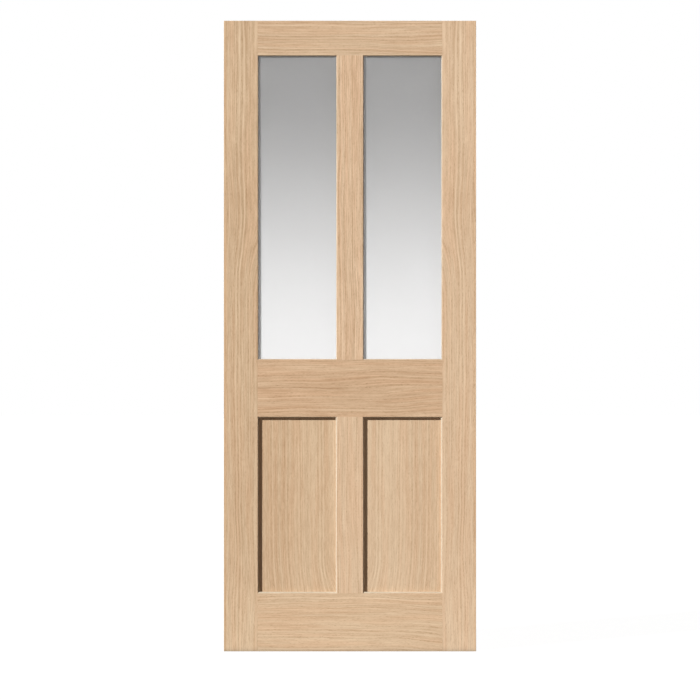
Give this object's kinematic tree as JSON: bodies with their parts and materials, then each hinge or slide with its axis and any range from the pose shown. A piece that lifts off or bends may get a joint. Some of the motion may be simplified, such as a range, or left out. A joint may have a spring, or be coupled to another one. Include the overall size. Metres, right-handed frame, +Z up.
{
  "type": "glazed interior door leaf",
  "caption": "Oak stile-and-rail door leaf with tall glazed lights above a lock rail and flat recessed panels below.",
  "frame": {"origin": "foot of the hinge edge, on its flat face at mid-thickness", "axes": "+Z up the leaf; +X across the leaf from the hinge edge to the lock edge; +Y through the thickness from the front face to the back face"},
  "size_m": [0.813, 0.035, 2.032],
  "materials": {
    "oak_veneer": "matt lacquered crown-cut oak veneer",
    "oak_panel": "matt lacquered oak veneered board",
    "oak_lipping": "matt lacquered solid oak",
    "oak_bead": "matt lacquered solid oak",
    "glass": "satin etched toughened float glass",
    "glazing_tape": "pale grey closed-cell foam tape",
    "setting_block": "dark moulded rubber"
  },
  "bodies": {
    "root": {"hinge_stile": "oak_veneer", "lock_stile": "oak_veneer", "top_rail": "oak_veneer", "lock_rail": "oak_veneer", "bottom_rail": "oak_veneer", "upper_muntin": "oak_veneer", "lower_muntin": "oak_veneer", "hinge_edge_lipping": "oak_lipping", "lock_edge_lipping": "oak_lipping", "left_panel": "oak_panel", "right_panel": "oak_panel", "left_glass": "glass", "right_glass": "glass", "left_front_tape": "glazing_tape", "left_back_tape": "glazing_tape", "right_front_tape": "glazing_tape", "right_back_tape": "glazing_tape", "left_setting_blocks": "setting_block", "right_setting_blocks": "setting_block", "left_glass_left_bead": "oak_bead", "left_glass_right_bead": "oak_bead", "left_glass_bottom_bead": "oak_bead", "left_glass_top_bead": "oak_bead", "right_glass_left_bead": "oak_bead", "right_glass_right_bead": "oak_bead", "right_glass_bottom_bead": "oak_bead", "right_glass_top_bead": "oak_bead"}
  },
  "joints": []
}
